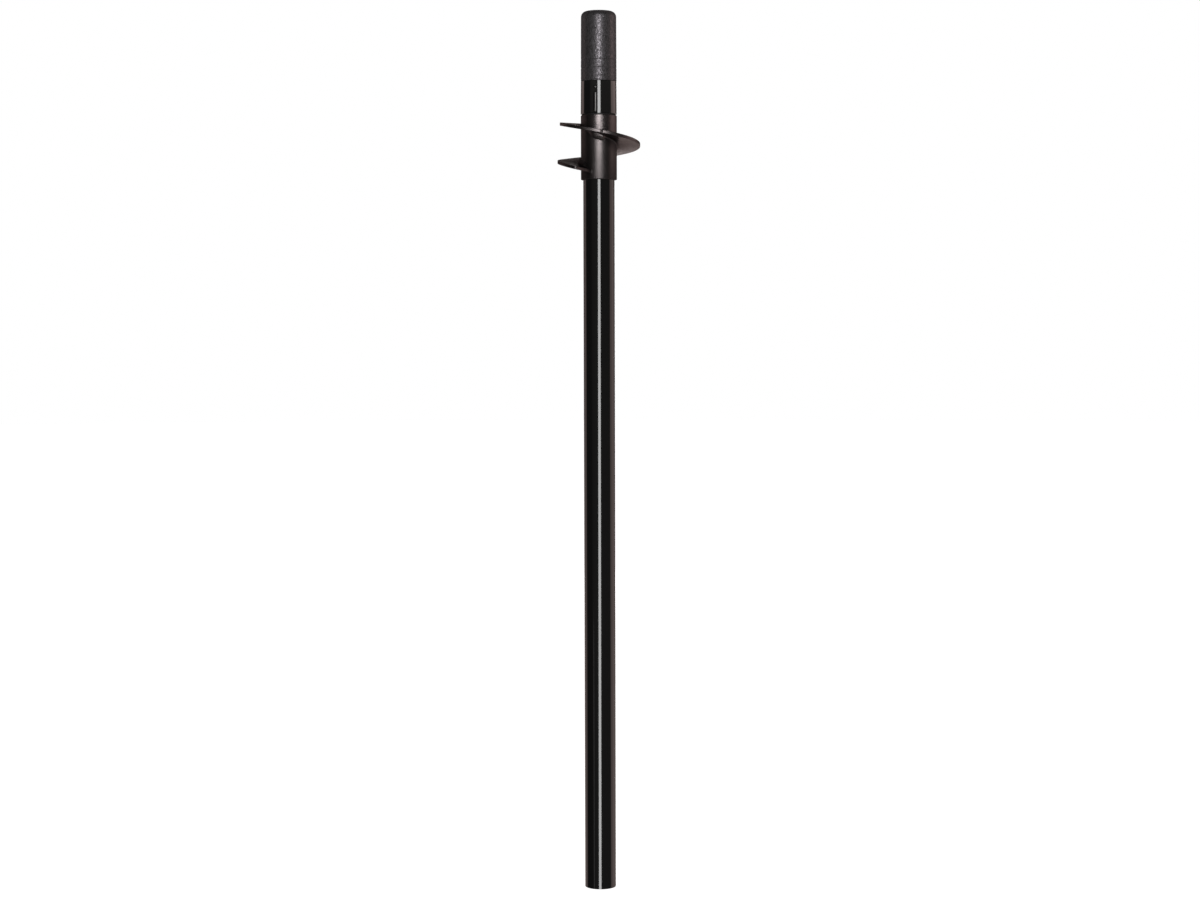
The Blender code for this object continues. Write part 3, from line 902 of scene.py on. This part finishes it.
def build_object():
    gloss = gloss_paint("gloss_black", IOR=1.5)
    hard_gloss = gloss_paint("sleeve_black", IOR=1.54)
    satin = satin_paint("auger_coat")
    rubber = plain_rubber("black_rubber")
    plated = zinc("zinc_plate")
    blued = zinc("black_steel", colour=(0.09, 0.088, 0.086), roughness=0.32)

    slot = slot_cutter()
    pin_hole = hole_cutter("pin_hole", PIN_RADIUS + GAP, KEY_ANGLE, PIN_HEIGHT, KEY_FOOT - GAP)
    wall_only = TUBE_BORE / 2
    button_hole = hole_cutter("button_hole", BUTTON_RADIUS + GAP, BACK, BUTTON_HEIGHT, wall_only, 72)
    screw_holes = [
        hole_cutter(node + "_hole", SCREW_RADIUS + GAP, BACK, middle_height(node), wall_only)
        for node in ("collar_screw_lower", "collar_screw_upper")
    ]

    tube(gloss, [slot, pin_hole, button_hole, *screw_holes])
    hub(satin, screw_holes)
    flight(satin)
    weld("weld_upper", satin, 1, (40, 52, 118, 130), along_hub=3.2 * MM, along_plate=3.4 * MM)
    weld("weld_lower", satin, -1, (336, 350, 372, 402), along_hub=5.6 * MM, along_plate=3.4 * MM)
    seal_ring(rubber)
    sleeve(hard_gloss, [slot, pin_hole])
    key(blued)
    pin(blued)
    cap(grained_rubber("cap_rubber"))
    cap_plate(plated)
    point(cast_iron("cast_point"), [slot, pin_hole])
    grip_ring(rubber)
    screw("screw_lower", "collar_screw_lower", plated)
    screw("screw_upper", "collar_screw_upper", plated)
    button(plated)
    strip_spring(drawn_steel("spring_steel"))
    for cutter in [slot, pin_hole, button_hole, *screw_holes]:
        bpy.data.objects.remove(cutter)


# ---------------------------------------------------------------- studio


def aimed(obj, place, target):
    obj.location = place
    obj.rotation_euler = (Vector(target) - Vector(place)).to_track_quat("-Z", "Y").to_euler()


def panel(name, angle, distance, width, low, high, radiance, roll=0.0):
    """A soft box at an angle around the pole and a distance from it, which faces the pole. It stands upright
    from low to high, or has its top rolled to the left. The camera doesn't see it."""
    light = bpy.data.lights.new(name, "AREA")
    light.shape = "RECTANGLE"
    light.size, light.size_y = width, high - low
    light.energy = radiance * math.pi * width * (high - low)
    obj = bpy.data.objects.new(name, light)
    bpy.context.scene.collection.objects.link(obj)
    middle = (low + high) / 2
    aimed(obj, around(angle, distance, middle), (0, 0, middle))
    obj.rotation_euler.rotate_axis("Z", math.radians(roll))
    obj.visible_camera = False


def tinted(tint, *stops):
    """Stops (degrees, brightness) of one tint, as (degrees, brightness, tint)."""
    return [(degrees, bright, tint) for degrees, bright in stops]


WARM = (1.2, 0.96, 0.94)
COOL = (1.02, 1.0, 0.97)
PALE = (1.1, 0.98, 0.95)

# In degrees from the front, positive to the right
SIDE_STOPS = (
    tinted(WARM, (-180, 0.0), (-146, 0.10), (-132, 0.40), (-122, 0.53), (-113, 0.50))
    + tinted(COOL, (-109, 0.03), (-63, 0.02), (-50, 0.08), (-20, 0.11), (20, 0.08), (78, 0.08))
    + tinted(WARM, (83, 0.14), (88, 0.80), (120, 0.80), (132, 0.40), (146, 0.06), (180, 0.0))
)
BACK_STOPS = tinted(PALE, (-180, 1.0), (-150, 1.0), (-130, 0.0), (130, 0.0), (150, 1.0), (180, 1.0))
FRONT_STOPS = tinted(COOL, (-180, 0.0), (-140, 0.0), (-100, 1.0), (100, 1.0), (140, 0.0), (180, 0.0))

# In degrees above the horizon
SIDE_RISE_STOPS = tinted(
    COOL,
    (-90, 0.12), (-44, 0.15), (-20, 1.0), (5.4, 1.0), (6.2, 1.9), (11, 1.9), (17, 0.5), (45, 0.2),
    (90, 0.35),
)
BACK_RISE_STOPS = tinted(
    COOL,
    (-90, 0.03), (-50, 0.06), (-42, 0.15), (-36, 0.50), (-28, 1.55), (-20, 1.55), (-14.5, 0.62),
    (-3, 0.12), (6, 0.06), (9, 0.08), (13, 0.38), (18, 0.22), (25, 0.12), (40, 0.08), (70, 0.2),
    (90, 0.25),
)
FLOOR_STOPS = tinted(COOL, (-180, 0.24), (-62, 0.24), (-40, 0.20), (-26, 0.0), (180, 0.0))


def surroundings():
    """White to the camera. To the object it is a dim studio with a warm pale card on each side, a pale floor
    in front, and a dark back that is paler a little below the horizon."""
    world = bpy.data.worlds.new("studio")
    bpy.context.scene.world = world
    world.use_nodes = True
    world.cycles.sampling_method = "NONE"  # it has no small bright spot to aim at
    tree = world.node_tree
    tree.nodes.clear()

    def node(kind, *inputs, **settings):
        made = tree.nodes.new("ShaderNode" + kind)
        for key_, value in settings.items():
            setattr(made, key_, value)
        for socket, value in zip(made.inputs, inputs):
            if isinstance(value, bpy.types.NodeSocket):
                tree.links.new(value, socket)
            else:
                socket.default_value = value
        return made.outputs[0]

    def ramp(source, stops):
        """A colour ramp over degrees from -180 to 180, from (degrees, brightness, tint) stops."""
        share = node("MapRange", source, -math.pi, math.pi)
        made = node("ValToRGB", share)
        elements = made.node.color_ramp.elements
        elements.remove(elements[-1])
        for i, (degrees, bright, tint) in enumerate(stops):
            place = (degrees + 180) / 360
            element = elements[0] if i == 0 else elements.new(place)
            element.position = place
            element.color = (*(bright * c for c in tint), 1)
        return made

    def product(first, second):
        return node("VectorMath", first, second, operation="MULTIPLY")

    def total(first, second):
        return node("VectorMath", first, second, operation="ADD")

    parts = node("SeparateXYZ", tree.nodes.new("ShaderNodeTexCoord").outputs["Generated"]).node
    forward = node("Math", parts.outputs["Y"], -1.0, operation="MULTIPLY")
    turn = node("Math", parts.outputs["X"], forward, operation="ARCTAN2")
    rise = node("Math", parts.outputs["Z"], operation="ARCSINE")
    sides = product(ramp(turn, SIDE_STOPS), ramp(rise, SIDE_RISE_STOPS))
    back = product(ramp(turn, BACK_STOPS), ramp(rise, BACK_RISE_STOPS))
    pale_floor = product(ramp(turn, FRONT_STOPS), ramp(rise, FLOOR_STOPS))
    to_object = node("Background", total(total(sides, back), pale_floor))
    to_camera = node("Background", (1, 1, 1, 1))
    path = tree.nodes.new("ShaderNodeLightPath")
    which = node("MixShader", path.outputs["Is Camera Ray"], to_object, to_camera)
    tree.links.new(which, tree.nodes.new("ShaderNodeOutputWorld").inputs["Surface"])


def floor():
    """A plain floor just under the pole. It lights nothing and isn't reflected, because the surroundings hold
    the light that comes from below."""
    radius, drop = 12, 0.0005
    bm = bmesh.new()
    bmesh.ops.create_circle(bm, cap_ends=True, radius=radius, segments=96)
    made = made_object("floor", bm)
    made.location.z = -drop
    white = Surface("floor", (0.85, 0.85, 0.85), 0.9)
    white.shader.inputs["Emission Color"].default_value = (1, 1, 1, 1)
    white.shader.inputs["Emission Strength"].default_value = 0.97
    patch = white.noise(0.4, detail=1)
    white.colour(white.mixed_colour(patch, (0.86, 0.86, 0.86), (0.84, 0.84, 0.84)))
    made.data.materials.append(white.material)
    made.visible_glossy = False
    made.visible_diffuse = False
    made.visible_shadow = False


def camera():
    """The camera looks a little down at the pole, from two thirds of its height."""
    down, roll = 3.0, -0.14
    data = bpy.data.cameras.new("camera")
    data.lens = 70.5
    data.sensor_width = 36
    made = bpy.data.objects.new("camera", data)
    bpy.context.scene.collection.objects.link(made)
    made.location = (0.0004, -2.382, 0.5721)
    pitched = Matrix.Rotation(math.radians(90 - down), 4, "X")
    made.rotation_euler = (pitched @ Matrix.Rotation(math.radians(roll), 4, "Z")).to_euler()
    bpy.context.scene.camera = made


def studio():
    view = bpy.context.scene.view_settings
    view.view_transform = "Standard"
    view.look = "None"
    surroundings()
    panel("key_light", 0.3, 3.2, width=0.99, low=-1.3, high=2.0, radiance=10.3, roll=-8)
    panel("edge_light", 47.5, 2.5, width=0.18, low=-1.4, high=-0.05, radiance=0.6)
    panel("back_light", 188, 3.2, width=0.5, low=-1.3, high=2.0, radiance=3.0)
    floor()
    camera()


build_object()
studio()
